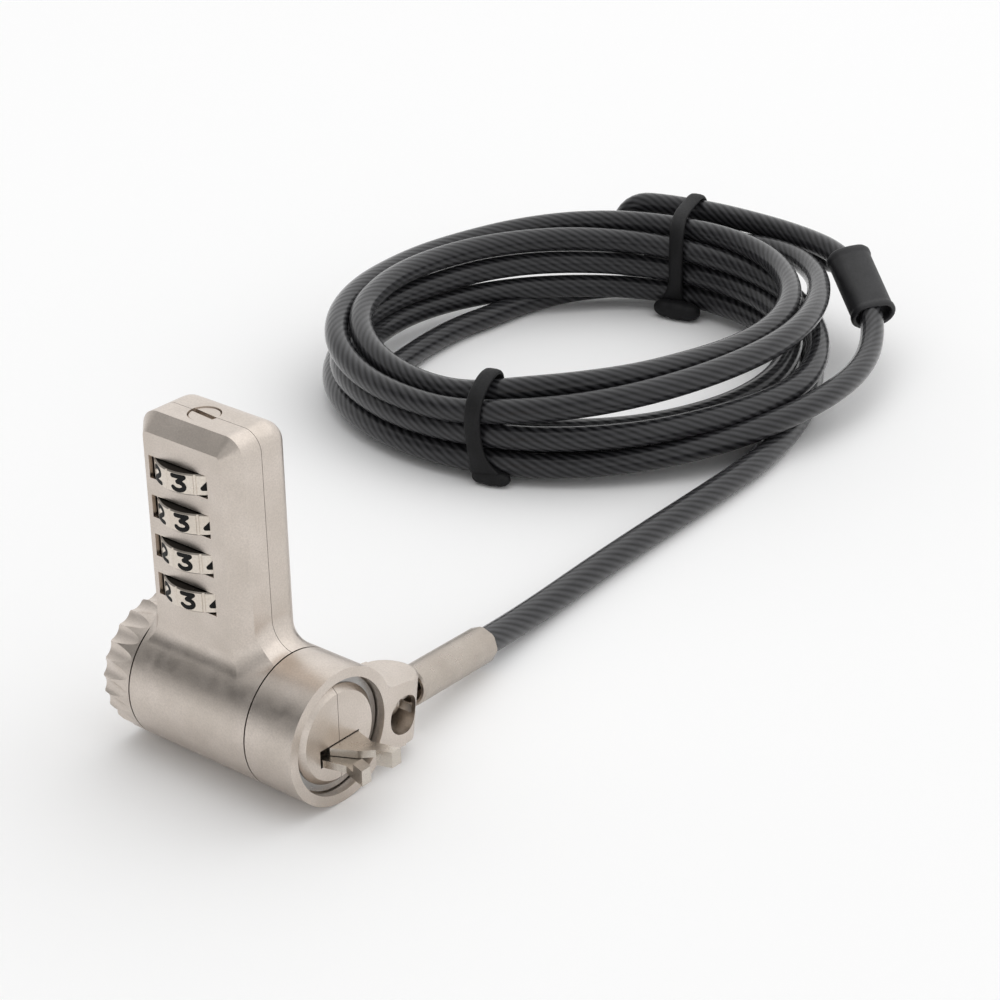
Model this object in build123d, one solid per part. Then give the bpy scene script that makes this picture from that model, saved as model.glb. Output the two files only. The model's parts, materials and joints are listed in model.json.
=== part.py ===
from build123d import *
import os
from math import atan2, cos, degrees, pi, radians, sin, tan

# Laptop cable lock: a barrel with a turning knob, a dial handle, a scissor T-bar that
# locks in a 3 x 7 mm security slot, and a swivel ring that carries a coiled steel cable.
#
# Frame: millimetres, +Z up, +X out of the nose.  The shapes are built about the barrel
# axis (z = 0 there) and moved up by tbar_drop when they are written, so the origin of the
# written part is the middle of the T-bar in the plane of the nose.

# ---- barrel, swivel ring and knob -----------------------------------------------------
barrel_d = 22.0
ring_length = 9.2
seam_gap = 0.25              # open seam between ring, barrel and knob
barrel_length = 24.05
barrel_wall = 2.2
knob_length = 5.9
knob_flutes = 24
flute_r = 2.0
flute_depth = 0.95

# ---- handle with the dials ------------------------------------------------------------
handle_thickness = 12.2      # along Y
handle_top = 45.6            # above the barrel axis
left_wall = 1.15             # between the dials' pocket and the handle's left side
right_wall = 3.45            # between the dials and the handle's right side
top_wall = 7.9               # from the middle of the top dial to the handle's top
top_corner_r = 3.2           # left and right corners of the top
front_bevel = 2.4
rear_corner_r = 3.0
handle_fillet = 4.2
shell_gap = 0.08             # parting line between the two shells
dowel_r = 0.9
dowel_length = 5.0
dowel_inset = 7.5            # top dowel below the handle's top
dowel_above_barrel = 5.0      # lower right dowel
left_dowel_above_barrel = 1.6
left_dowel_side = 3.6       # lower left dowel, from the handle's left side

# ---- dials ----------------------------------------------------------------------------
dial_count = 4
dial_pitch = 6.4
dial_r = 7.75
dial_height = 3.4
digit_count = 10
digit_turn = 13.0            # degrees from straight ahead to the digit that reads
groove_depth = 0.15
window_width = 11.9
window_margin = 0.13         # window edge beyond the dial, above and below
dial_clearance = 0.3         # around the rim of a dial
hub_r = 4.5
hub_height = 4.0
spindle_r = 1.7
fin_width = 0.9
fin_r = 3.0
fin_height = 1.7
fin_gap = 0.35               # from a fin's top to its hub
fin_clearance = 0.3          # around a fin's tip, in the key way and the recess of a hub
gate_clearance = 0.2         # beside a fin in the key way of a hub
hub_clearance = 0.15         # between hub and spindle
bay_clearance = 0.35         # around the hubs
bay_depth = 2.2              # below the lowest hub
spindle_lift = 2.0
fit = 0.06                   # radial running clearance
press = 0.01                 # radial clearance of a held pin

# ---- reset screw, spindle spring, detent ----------------------------------------------
screw_head_r = 2.5
screw_head_height = 1.75
screw_flange_r = 3.1
screw_flange_height = 0.7
screw_slot_width = 0.9
screw_slot_depth = 0.8
screw_slot_turn = -5.0       # degrees from the parting line
screw_recess = 0.15
spring_wire_r = 0.2
spring_r = 1.2
spring_turns = 3
detent_thickness = 0.4
detent_width = 4.0
detent_gap = 0.25

# ---- core, T-bar and drive ------------------------------------------------------------
core_r = 8.0
core_setback = 0.55
core_chamfer = 0.9
core_length = 10.5           # solid length of the core behind its face
tbar_drop = 2.3              # T-bar axis below the barrel axis
slot_play = 0.15             # above and below the arms in the core's slot
slot_width = 8.4
arm_thickness = 1.25
arm_gap = 0.1
arm_reach = 7.75             # tips in front of the nose
arm_pivot_x = -8.0
arm_pin_r = 1.2
tail_end_x = -19.0
ear_length = 2.2
ear_thickness = 1.0
ear_gap = 0.2                # between an arm's ear and the cam turned across
ear_top = 2.0
cam_wide = 1.9
cam_narrow = 1.0
shaft_r = 3.5
shaft_flat = 2.2             # flat under the spindle, from the axis
shaft_flange_r = 5.0
shaft_flange_length = 1.0
square_side = 4.9
square_fit = 0.05
square_length = 3.4

# ---- swivel ring and its lug ----------------------------------------------------------
counterbore_depth = 2.6
retainer_width = 0.8
retainer_reach = 1.1         # beyond the core
retainer_depth = 0.7         # groove in the core
retainer_clearance = 0.25    # inside the ring's counterbore
ring_droop = 9.0             # degrees the lug hangs below level at rest
lug_reach = 3.9              # lug's centre beyond the barrel's side
lug_top = 5.0
lug_bottom = -5.8
lug_fillet = 1.4
lug_floor = 1.7              # back wall behind the window
window_inset = 0.9           # window's middle inside the lug's centre
lug_window_width = 6.2
lug_window_height = 6.4
neck_slot_clearance = 0.25
neck_slot_width = 6.6
pivot_inset = 0.5            # cable's swivel axis inside the lug's centre
stud_head_r = 2.4
stud_neck_r = 1.2

# ---- ferrule and cable ----------------------------------------------------------------
cable_d = 4.7
ferrule_skin = 0.8           # metal around the cable
ferrule_start = 7.0          # from the swivel axis
ferrule_length = 22.5
ferrule_hollow = 5.0
ferrule_wall = 0.75
ferrule_socket = 12.0
cable_yaw = 10.0             # degrees the cable turns away from the nose at rest
coil_x = -69.5
coil_y = 143.0
coil_columns = 2
# middle of the bundle: angle about the coil's centre and radius there
coil_middle = [(-95, 45.4), (-71, 45.1), (-45, 44.6), (-15, 43.6), (15, 43.8), (45, 46.6), (70, 48.6)]
coil_middle += [(90, 47.4), (100, 46.3), (110, 44.9), (130, 42.4), (155, 41.2), (180, 41.4)]
coil_middle += [(210, 43.3), (240, 45.2)]
coil_layers = 4
layer_squeeze = 0.03         # by which the turns press into each other
coil_lift = 1.2              # under the lowest turn, where the ties pass
tie_angles = {"tie_front": -71.0, "tie_rear": 100.0}
tie_width = 3.4
tie_thickness = 0.8
tie_play = 0.35
loop_leg_r = 56.2            # the loop's legs at the rear tie
loop_lift = 0.4              # top of the loop above the coil's top there
knot_width = 8.0
knot_height = 4.2
knot_depth = 3.2
sleeve_width = 9.4
sleeve_height = 7.0

# ---- derived places -------------------------------------------------------------------
barrel_r = barrel_d / 2
barrel_front = -ring_length - seam_gap
barrel_back = barrel_front - barrel_length
knob_front = barrel_back - seam_gap
knob_back = knob_front - knob_length
handle_left = barrel_back
handle_front = -handle_thickness / 2
dial_x = handle_left + left_wall + dial_clearance + dial_r
handle_right = dial_x + dial_r + right_wall
top_dial_z = handle_top - top_wall
dial_z = [top_dial_z - i * dial_pitch for i in range(dial_count)]
window_height = dial_height + 2 * window_margin
core_front = -core_setback
core_back = core_front - core_length
slot_z = -tbar_drop
slot_height = 2 * arm_thickness + arm_gap + 2 * slot_play
ear_inner_y = cam_wide + ear_gap
lug_distance = barrel_r + lug_reach
pivot_distance = lug_distance - pivot_inset
window_y = lug_distance - window_inset
neck_slot_height = 2 * (stud_neck_r + neck_slot_clearance)
pivot_x = -ring_length / 2
retainer_back = -counterbore_depth + 2 * fit
retainer_r = core_r + retainer_reach
retainer_groove_r = core_r - retainer_depth
counterbore_r = retainer_r + retainer_clearance
floor_z = -barrel_r
cable_r = cable_d / 2
ferrule_r = cable_r + ferrule_skin
layer_pitch = cable_d - layer_squeeze
hub_bore_r = spindle_r + hub_clearance
gate_r = fin_r + fin_clearance
gate_width = fin_width + 2 * gate_clearance
screw_top = handle_top - screw_recess
flange_top = screw_top - screw_head_height
flange_bottom = flange_top - screw_flange_height
hub_top = top_dial_z + hub_height / 2
spindle_top = hub_top + 0.2
spindle_bottom = shaft_flat + 0.45
cavity_back = barrel_back + barrel_wall
cavity_front = core_back


def along_x(radius, x0, x1):
    """Cylinder about the barrel axis between two X places."""
    return Pos((x0 + x1) / 2, 0, 0) * Rot(0, 90, 0) * Cylinder(radius, abs(x1 - x0))


def upright(radius, x, y, z0, z1):
    """Vertical cylinder between two heights."""
    return Pos(x, y, (z0 + z1) / 2) * Cylinder(radius, abs(z1 - z0))


def block(x0, x1, y0, y1, z0, z1):
    """Box between two corners."""
    return Pos((x0 + x1) / 2, (y0 + y1) / 2, (z0 + z1) / 2) * Box(abs(x1 - x0), abs(y1 - y0), abs(z1 - z0))


def plate(points, z0, z1):
    """Flat plate with a polygon outline between two heights."""
    return Pos(0, 0, z0) * extrude(make_face(Polyline(*points, close=True)), z1 - z0)


# ---- housing --------------------------------------------------------------------------
def handle_body():
    """Handle block with rounded top corners, a bevelled front and a rounded rear."""
    body = block(handle_left, handle_right, handle_front, -handle_front, 0, handle_top)
    top_corners = body.faces().sort_by(Axis.Z)[-1].edges().filter_by(Axis.Y)
    body = fillet(top_corners, top_corner_r)
    front_rim = body.faces().sort_by(Axis.Y)[0].edges().filter_by(lambda e: e.center().Z > 0.1)
    body = chamfer(front_rim, front_bevel)
    rear_rim = body.faces().sort_by(Axis.Y)[-1].edges().filter_by(lambda e: e.center().Z > 0.1)
    return fillet(rear_rim, rear_corner_r)


def housing_outside():
    """Barrel and handle as one rounded body, trimmed at the knob's and the ring's seams."""
    spare = 8
    barrel = along_x(barrel_r, barrel_back - spare, barrel_front + spare)
    body = barrel + handle_body()

    def is_junction(edge):
        place = edge.center()
        beside_handle = handle_left - 0.1 < place.X < handle_right + 0.1
        return beside_handle and barrel_r * 0.7 < place.Z < barrel_r + 0.01

    body = fillet(body.edges().filter_by(is_junction), handle_fillet)
    return body & block(barrel_back, barrel_front, -barrel_r, barrel_r, -barrel_r, handle_top)


def dial_bay():
    """Pockets, windows and bores that hold the dials, hubs, spindle and screw."""
    bay_bottom = dial_z[-1] - hub_height / 2 - bay_depth
    cuts = upright(hub_r + bay_clearance, dial_x, 0, bay_bottom, hub_top + 0.3)
    for z in dial_z:
        z0 = z - window_height / 2
        z1 = z + window_height / 2
        cuts += upright(dial_r + dial_clearance, dial_x, 0, z0, z1)
        half = window_width / 2
        cuts += block(dial_x - half, dial_x + half, handle_front - 1, handle_front + 1.1, z0, z1)
        cuts += block(dial_x - half, dial_x + half, -handle_front - 1.1, -handle_front + 1, z0, z1)
    cuts += upright(spindle_r + fit, dial_x, 0, 0, top_dial_z)
    cuts += upright(screw_flange_r + 0.1, dial_x, 0, hub_top, flange_top + 0.05)
    cuts += upright(screw_head_r + fit, dial_x, 0, hub_top, handle_top + 1)
    side = dial_x + dial_r + detent_gap
    low = dial_z[-1] - dial_pitch / 2
    high = top_dial_z + dial_pitch / 2
    half = detent_width / 2 + 0.15
    cuts += block(side - 0.6, side + detent_thickness + 0.1, -half, half, low, high)
    return cuts


def barrel_cavity():
    """Space for the drive shaft and the arms' tails, with the shaft's bearing."""
    cavity = along_x(barrel_r - barrel_wall, cavity_back, cavity_front)
    bearing = along_x(shaft_r + fit, barrel_back - 1, cavity_back + 0.01)
    return cavity + bearing


def core_outside():
    """Nose core on which the ring swivels, with a chamfered rim."""
    core = along_x(core_r, barrel_front - 0.5, core_front)
    rim = core.edges().filter_by(GeomType.CIRCLE).sort_by(Axis.X)[-1]
    return chamfer(rim, core_chamfer)


def core_cuts():
    """Slot for the two arms, the arm pin's bore and the retainer's groove."""
    half = slot_width / 2
    z0 = slot_z - slot_height / 2
    z1 = slot_z + slot_height / 2
    cuts = block(core_back - 0.5, 1, -half, half, z0, z1)
    cuts += upright(arm_pin_r, arm_pivot_x, 0, z0 - 2.5, z1 + 2.5)
    groove_x0 = retainer_back - fit
    groove_x1 = retainer_back + retainer_width + fit
    groove = along_x(core_r + 1, groove_x0, groove_x1) - along_x(retainer_groove_r, groove_x0, groove_x1)
    return cuts + groove


def dowel_places():
    """X and Z of the dowels that hold the two shells together."""
    right = (dial_x + dial_r + handle_right) / 2 + 0.4
    left = handle_left + left_dowel_side
    low = barrel_r + left_dowel_above_barrel
    return [(right, handle_top - dowel_inset), (right, barrel_r + dowel_above_barrel), (left, low)]


def housing_shells():
    """Front and rear shell, split along the plane through the barrel and dial axes."""
    solid = housing_outside() + core_outside()
    solid = solid - barrel_cavity() - dial_bay() - core_cuts()
    far = 200
    front = solid & block(-far, far, -far, -shell_gap / 2, -far, far)
    rear = solid & block(-far, far, shell_gap / 2, far, -far, far)
    for x, z in dowel_places():
        hole = Pos(x, 0, z) * Rot(90, 0, 0) * Cylinder(dowel_r, dowel_length)
        front = front - hole
        rear = rear - hole
    return front, rear


def dowel(x, z):
    """Press-fit dowel across the parting line."""
    return Pos(x, 0, z) * Rot(90, 0, 0) * Cylinder(dowel_r - press, dowel_length - 0.4)


# ---- dial stack -----------------------------------------------------------------------
def dial(z):
    """Number dial with a shallow groove between neighbouring digits."""
    wheel = upright(dial_r, dial_x, 0, z - dial_height / 2, z + dial_height / 2)
    rims = wheel.edges().filter_by(GeomType.CIRCLE)
    wheel = chamfer(rims, 0.2)
    wheel -= upright(hub_r + fit, dial_x, 0, z - dial_height, z + dial_height)
    groove_r = 0.3
    for i in range(digit_count):
        turn = radians(digit_turn) + 2 * pi * (i + 0.5) / digit_count
        reach = dial_r + groove_r - groove_depth
        x = dial_x + reach * sin(turn)
        y = -reach * cos(turn)
        wheel -= upright(groove_r, x, y, z - dial_height, z + dial_height)
    return wheel


def hub(z):
    """Clutch hub inside a dial, with the gate that a spindle fin passes when the code is set."""
    body = upright(hub_r, dial_x, 0, z - hub_height / 2, z + hub_height / 2)
    body -= upright(hub_bore_r, dial_x, 0, z - hub_height, z + hub_height)
    bottom = z - hub_height / 2
    body -= upright(gate_r, dial_x, 0, bottom - 1, bottom + spindle_lift)
    half = gate_width / 2
    body -= block(dial_x, dial_x + gate_r, -half, half, bottom - 1, z + hub_height)
    return body


def spindle():
    """Lift spindle with one fin below each hub."""
    rod = upright(spindle_r, dial_x, 0, spindle_bottom, spindle_top)
    half = fin_width / 2
    for z in dial_z:
        top = z - hub_height / 2 - fin_gap
        rod += block(dial_x, dial_x + fin_r, -half, half, top - fin_height, top)
    return rod


def spindle_spring():
    """Compression spring between the spindle and the reset screw."""
    low = spindle_top + spring_wire_r + 0.02
    height = flange_bottom - spindle_top - 2 * spring_wire_r - 0.04
    path = Helix(height / spring_turns, height, spring_r)
    profile = Plane(path @ 0, z_dir=path % 0) * Circle(spring_wire_r)
    return Pos(dial_x, 0, low) * sweep(profile, path, is_frenet=True)


def reset_screw():
    """Slotted code-change screw in the top of the handle."""
    screw = upright(screw_head_r, dial_x, 0, flange_top, screw_top)
    screw = chamfer(screw.edges().filter_by(GeomType.CIRCLE).sort_by(Axis.Z)[-1], 0.2)
    screw += upright(screw_flange_r, dial_x, 0, flange_bottom, flange_top)
    slot_turn = Rot(0, 0, screw_slot_turn)
    slot = slot_turn * Box(2 * screw_head_r + 1, screw_slot_width, 2 * screw_slot_depth)
    return screw - Pos(dial_x, 0, screw_top) * slot


def detent_spring():
    """Leaf that clicks against the dials."""
    side = dial_x + dial_r + detent_gap
    half = detent_width / 2
    low = dial_z[-1] - dial_pitch / 2 + 0.2
    high = top_dial_z + dial_pitch / 2 - 0.2
    leaf = block(side, side + detent_thickness, -half, half, low, high)
    for z in dial_z:
        bump = Pos(side, 0, z) * Rot(90, 0, 0) * Cylinder(detent_gap - 0.1, detent_width)
        leaf += bump
    return leaf


# ---- knob, shaft and T-bar ------------------------------------------------------------
def knob():
    """Fluted knob; its scallops are deepest at the outer end and fade towards the barrel."""
    body = along_x(barrel_r, knob_back, knob_front)
    outer = body.edges().filter_by(GeomType.CIRCLE).sort_by(Axis.X)[0]
    body = chamfer(outer, 0.5)
    dish = along_x(barrel_r - 3.2, knob_back - 1, knob_back + 0.6)
    body -= dish
    lean = degrees(atan2(flute_depth, knob_length * 0.92))
    for i in range(knob_flutes):
        scallop = Pos(knob_back, 0, barrel_r + flute_r - flute_depth) * Rot(0, 90 - lean, 0)
        scallop *= Cylinder(flute_r, 3 * knob_length)
        body -= Rot(360 * i / knob_flutes, 0, 0) * scallop
    side = square_side + 2 * square_fit
    body -= block(knob_front - square_length - 0.2, knob_front + 1, -side / 2, side / 2, -side / 2, side / 2)
    return body


def drive_shaft():
    """Shaft that turns the cam between the arms' tails and frees the spindle."""
    side = square_side
    flange_x0 = cavity_back + 0.1
    cam_x1 = tail_end_x + ear_length
    shaft = block(knob_front - square_length, knob_front + 0.01, -side / 2, side / 2, -side / 2, side / 2)
    shaft += along_x(shaft_r, knob_front, tail_end_x - 0.6)
    shaft += along_x(shaft_flange_r, flange_x0, flange_x0 + shaft_flange_length)
    cam = extrude(Plane.YZ * Ellipse(cam_wide, cam_narrow), cam_x1 - tail_end_x + 0.6)
    shaft += Pos(tail_end_x - 0.6, 0, 0) * cam
    reach = spindle_r + 0.7
    shaft -= block(dial_x - reach, dial_x + reach, -shaft_r, shaft_r, shaft_flat, shaft_r + 1)
    return shaft


def upper_arm():
    """Upper arm of the scissor T-bar; its hook spreads to +Y and its tail ear lies at -Y."""
    z1 = slot_z + arm_gap / 2 + arm_thickness
    z0 = slot_z + arm_gap / 2
    z_low = slot_z - arm_gap / 2 - arm_thickness
    nose_half = slot_width / 2 - 0.3
    outline = [(tail_end_x, -ear_inner_y - ear_thickness), (-11.0, -3.3), (-6.0, -3.0), (-0.4, -2.3)]
    outline += [(3.4, -0.4), (5.3, 1.5), (arm_reach, 2.3), (arm_reach, 4.25), (5.3, 3.5), (3.4, 2.9)]
    outline += [(-0.4, nose_half), (-7.0, nose_half - 0.4), (-10.5, 2.4)]
    outline += [(tail_end_x + ear_length + 0.4, -1.3)]
    outline += [(tail_end_x + ear_length, -ear_inner_y), (tail_end_x, -ear_inner_y)]
    arm = plate(outline, z0, z1)
    arm += plate([(5.3, 1.5), (arm_reach, 2.3), (arm_reach, 4.25), (5.3, 3.5)], z_low, z0)
    ear_y = -ear_inner_y - ear_thickness
    arm += block(tail_end_x, tail_end_x + ear_length, ear_y, -ear_inner_y, z0, ear_top)
    arm -= upright(arm_pin_r + 0.05, arm_pivot_x, 0, z0 - 1, z1 + 1)
    return arm


def lower_arm():
    """Lower arm: the upper arm turned over, with its own ear reaching up to the cam."""
    z0 = slot_z - arm_gap / 2 - arm_thickness
    arm = mirror(mirror(Pos(0, 0, -slot_z) * upper_arm_plates(), Plane.XY), Plane.XZ)
    arm = Pos(0, 0, slot_z) * arm
    ear_y = ear_inner_y + ear_thickness
    return arm + block(tail_end_x, tail_end_x + ear_length, ear_inner_y, ear_y, z0, ear_top)


def upper_arm_plates():
    """Upper arm without its ear."""
    z1 = slot_z + arm_gap / 2 + arm_thickness
    return upper_arm() - block(tail_end_x - 1, tail_end_x + ear_length + 1, -6, 0, z1, ear_top + 1)


def arm_pin():
    """Pin on which both arms swing, held in the two halves of the core."""
    reach = slot_height / 2 + 2.4
    return upright(arm_pin_r - press, arm_pivot_x, 0, slot_z - reach, slot_z + reach)


# ---- swivel ring ----------------------------------------------------------------------
def droop(shape):
    """Turn a shape from the ring's level frame to its drooping rest place."""
    return Rot(-ring_droop, 0, 0) * shape


def swivel_ring():
    """Ring with the lug that holds the cable's stud."""
    lug_r = ring_length / 2
    lug_x = -ring_length / 2
    ring = along_x(barrel_r, -ring_length, 0)
    lug = upright(lug_r, lug_x, lug_distance, lug_bottom, lug_top)
    lug = fillet(lug.edges().filter_by(GeomType.CIRCLE), 0.5)
    web = block(-ring_length, 0, barrel_r * 0.6, lug_distance, lug_bottom, lug_top)
    body = ring + web

    def is_root(edge):
        near = barrel_r * 0.7 < edge.center().Y < barrel_r + 0.5
        return near and abs(edge.center().X - lug_x) < 0.1 and abs(edge.center().Z) > 3

    body = fillet(body.edges().filter_by(is_root), lug_fillet) + lug
    body -= along_x(core_r + fit, -ring_length - 1, 1)
    body -= along_x(counterbore_r, -counterbore_depth, 1)
    cavity = obround(lug_window_width, lug_window_height, -ring_length + lug_floor, 1)
    body -= Pos(0, window_y, -0.5) * cavity
    half = neck_slot_width / 2
    slot_top = neck_slot_height / 2
    body -= block(lug_x - half, lug_x + half, window_y, lug_distance + lug_r + 1, -slot_top, slot_top)
    return droop(body)


def obround(width, height, x0, x1):
    """Upright rounded opening along X."""
    face = Plane.YZ * RectangleRounded(width, height, width / 2 - 0.05)
    return Pos(x0, 0, 0) * extrude(face, x1 - x0)


def ring_retainer():
    """Snap ring in the core's groove that keeps the swivel ring on."""
    x0 = retainer_back
    x1 = x0 + retainer_width
    washer = along_x(retainer_r, x0, x1) - along_x(retainer_groove_r + press, x0 - 1, x1 + 1)
    opening = block(x0 - 1, x1 + 1, -0.8, 0.8, 0, retainer_r + 1)
    return washer - opening


# ---- cable end ------------------------------------------------------------------------
def cable_line(distance):
    """Point of the ferrule's axis at a distance from the swivel axis, at rest."""
    x = pivot_x - distance * sin(radians(cable_yaw))
    y = pivot_distance + distance * cos(radians(cable_yaw))
    y_down = y * cos(radians(ring_droop))
    z_down = -y * sin(radians(ring_droop))
    return Vector(x, y_down, z_down)


def on_cable_line(shape):
    """Place a shape that is built along +Z on the ferrule's axis, from the swivel centre."""
    start = cable_line(0)
    direction = cable_line(1) - start
    return Plane(origin=start, x_dir=(1, 0, 0.001), z_dir=direction) * shape


def tube_z(radius, z0, z1):
    """Cylinder along +Z between two distances."""
    return Pos(0, 0, (z0 + z1) / 2) * Cylinder(radius, z1 - z0)


def cable_stud():
    """Ball-headed stud that joins the cable to the lug."""
    shank_end = ferrule_start + ferrule_length - ferrule_socket - 0.5
    stud = Sphere(stud_head_r) + tube_z(stud_neck_r, 0, shank_end)
    return on_cable_line(stud)


def cable_ferrule():
    """Crimped metal sleeve between stud and cable, with facets at the cable end."""
    end = ferrule_start + ferrule_length
    body = tube_z(ferrule_r, ferrule_start, end)
    body = chamfer(body.edges().filter_by(GeomType.CIRCLE).sort_by(Axis.Z)[0], 0.3)
    facets = Pos(0, 0, end) * extrude(RegularPolygon(ferrule_r - 0.12, 8, major_radius=False), -4, taper=-4)
    body = (body & facets) + (body & tube_z(ferrule_r + 1, ferrule_start - 1, end - 3.9))
    body -= tube_z(ferrule_r - ferrule_wall, ferrule_start - 1, ferrule_start + ferrule_hollow)
    body -= tube_z(stud_neck_r + press, ferrule_start, end)
    body -= tube_z(cable_r + press, end - ferrule_socket, end + 1)
    return on_cable_line(body)


def arc_radii(points, name):
    """Fillet radius of each corner: 0.45 of the shorter run over the tangent of half the turn."""
    radii = []
    for a, b, c in zip(points, points[1:], points[2:]):
        first = Vector(*b) - Vector(*a)
        second = Vector(*c) - Vector(*b)
        turn = first.get_angle(second)
        radii.append(0.45 * min(first.length, second.length) / tan(radians(turn) / 2))
    print(name, "radii", [round(r, 1) for r in radii])
    return radii


def cable_tube(points, name):
    """Cable stretch of straight runs and tangent arcs along a route."""
    route = [Vector(*p) for p in points]
    path = FilletPolyline(*route, radius=arc_radii(points, name))
    profile = Plane(origin=path @ 0, z_dir=path % 0) * Circle(cable_r)
    tube = sweep(profile, path)
    expected = pi * cable_r ** 2 * path.length
    print(name, "length", round(path.length, 1), "volume ratio", round(tube.volume / expected, 4))
    return tube


floor_line = floor_z + cable_r
inside = cable_line(ferrule_start + ferrule_length - ferrule_socket + 0.1)
exit_point = cable_line(ferrule_start + ferrule_length + 4)

lead_route = [
    (inside.X, inside.Y, inside.Z),
    (exit_point.X, exit_point.Y, exit_point.Z),
    (-12.1, 61.0, floor_line + 0.2),
    (-13.6, 78.0, floor_line + 0.05),
    (-14.6, 96.0, floor_line),
    (-15.2, 114.0, floor_line + 0.05),
    (-16.3, 132.0, floor_line),
    (-20.0, 149.0, floor_line + 0.1),
    (-26.6, 163.0, floor_line + 0.6),
]

layer_low = floor_z + coil_lift + cable_r
layer_top = layer_low + (coil_layers - 1) * layer_pitch
bundle_half = coil_columns * cable_r


def polar(radius, angle, z):
    """Point beside the coil at an angle about its centre."""
    x = coil_x + radius * cos(radians(angle))
    y = coil_y + radius * sin(radians(angle))
    return (x, y, z)


tail_route = [
    polar(47.8, -52, layer_low + 0.25),
    polar(48.3, -36, layer_low + 1.05),
    polar(49.9, -20, layer_low + 2.35),
    polar(52.0, -4, layer_low + 3.6),
    polar(54.2, 11, layer_low + 4.0),
    polar(56.9, 25, layer_low + 4.1),
    polar(59.2, 37, layer_low + 5.1),
    polar(60.5, 48, layer_low + 8.4),
]
sleeve_low = polar(60.6, 45.5, layer_top - 6.9)
sleeve_high = polar(59.8, 59.7, layer_top + 0.5)

# The loop leaves the sleeve, runs round the coil's outside, turns down behind it and
# comes back below itself.
loop_route = [
    polar(59.2, 57, layer_top - 0.6),
    polar(58.4, 63.5, layer_top + 0.6),
    polar(57.6, 71.5, layer_top + 0.5),
    polar(56.8, 80, layer_top + 0.4),
    polar(56.3, 89, layer_top + 0.3),
    polar(56.2, 96.5, layer_top + 0.35),
    polar(56.3, 103.5, layer_top + 0.25),
    polar(56.4, 109.6, layer_top + 0.3),
    polar(56.3, 114, layer_top + 0.2),
    polar(56.0, 116.9, layer_top - 1.8),
    polar(55.5, 118, layer_top - 5.1),
    polar(55.1, 116.9, layer_top - 8.4),
    polar(54.9, 114, layer_top - 10.4),
    polar(55.0, 109.6, layer_top - 10.2),
    polar(55.5, 103.3, layer_top - 8.3),
    polar(56.2, 96.5, layer_top - 6.2),
    polar(57.0, 89, layer_top - 5.1),
    polar(57.9, 81, layer_top - 4.7),
    polar(59.1, 72.5, layer_top - 4.0),
    polar(60.5, 65, layer_top - 2.7),
    polar(60.9, 57.5, layer_top - 1.6),
]


def middle_r(angle):
    """Radius of the bundle's middle at one of its stations or between two of them."""
    for (a0, r0), (a1, r1) in zip(coil_middle, coil_middle[1:]):
        if a0 <= angle <= a1:
            return r0 + (r1 - r0) * (angle - a0) / (a1 - a0)


def bundle_outline(shift):
    """Closed smooth outline a distance outside the middle of the bundle."""
    points = [polar(radius + shift, angle, 0) for angle, radius in coil_middle]
    return make_face(Spline(*points, periodic=True))


def cable_coil():
    """Outer shape of the coiled turns."""
    z0 = layer_low - cable_r
    height = layer_top - layer_low + cable_d
    ring = extrude(bundle_outline(bundle_half) - bundle_outline(-bundle_half), height)
    rims = ring.edges().group_by(Axis.Z)[0] + ring.edges().group_by(Axis.Z)[-1]
    return Pos(0, 0, z0) * chamfer(rims, cable_r * 0.55)


def end_sleeve():
    """Oval crimp sleeve that closes the end loop."""
    low = Vector(*sleeve_low)
    high = Vector(*sleeve_high)
    length = (high - low).length
    oval = extrude(RectangleRounded(sleeve_width, sleeve_height, sleeve_height / 2 - 0.05), length)
    oval = fillet(oval.edges().group_by(Axis.Z)[0] + oval.edges().group_by(Axis.Z)[-1], 0.9)
    return Plane(origin=low, x_dir=(-0.77, -0.6, 0), z_dir=high - low) * oval


def tie_outline(name):
    """Corners of a strap's opening beside the coil: radius from the centre, and height."""
    middle = middle_r(tie_angles[name])
    r0 = middle - bundle_half - tie_play
    r1 = middle + bundle_half + tie_play
    z0 = layer_low - cable_r - tie_play
    z1 = layer_top + cable_r + tie_play
    if name == "tie_front":
        return [(r0, z0), (r1, z0), (r1, z1), (r0, z1)]
    leg_r = loop_leg_r + cable_r + tie_play
    z2 = z1 + loop_lift
    return [(r0, z0), (r1, z0), (leg_r, layer_top - 2 * cable_d), (leg_r, z2), (r0, z2)]


def cable_tie(name):
    """Flat strap around the bundle; the rear one also holds the loop's legs and ends in a knot."""
    outline = tie_outline(name)
    opening = make_face(Polyline(*outline, close=True))
    strap_face = offset(opening, tie_thickness, kind=Kind.ARC) - opening
    strap = extrude(Plane.XZ * strap_face, tie_width / 2, both=True)
    if name == "tie_rear":
        r0, z0 = outline[0]
        bottom = z0 - tie_thickness
        side = r0 - tie_thickness + 0.1
        knot = block(side - knot_depth, side, -knot_width / 2, knot_width / 2, bottom, bottom + knot_height)
        strap += fillet(knot.edges(), 1.2)
    return Pos(coil_x, coil_y, 0) * Rot(0, 0, tie_angles[name]) * strap


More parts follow.
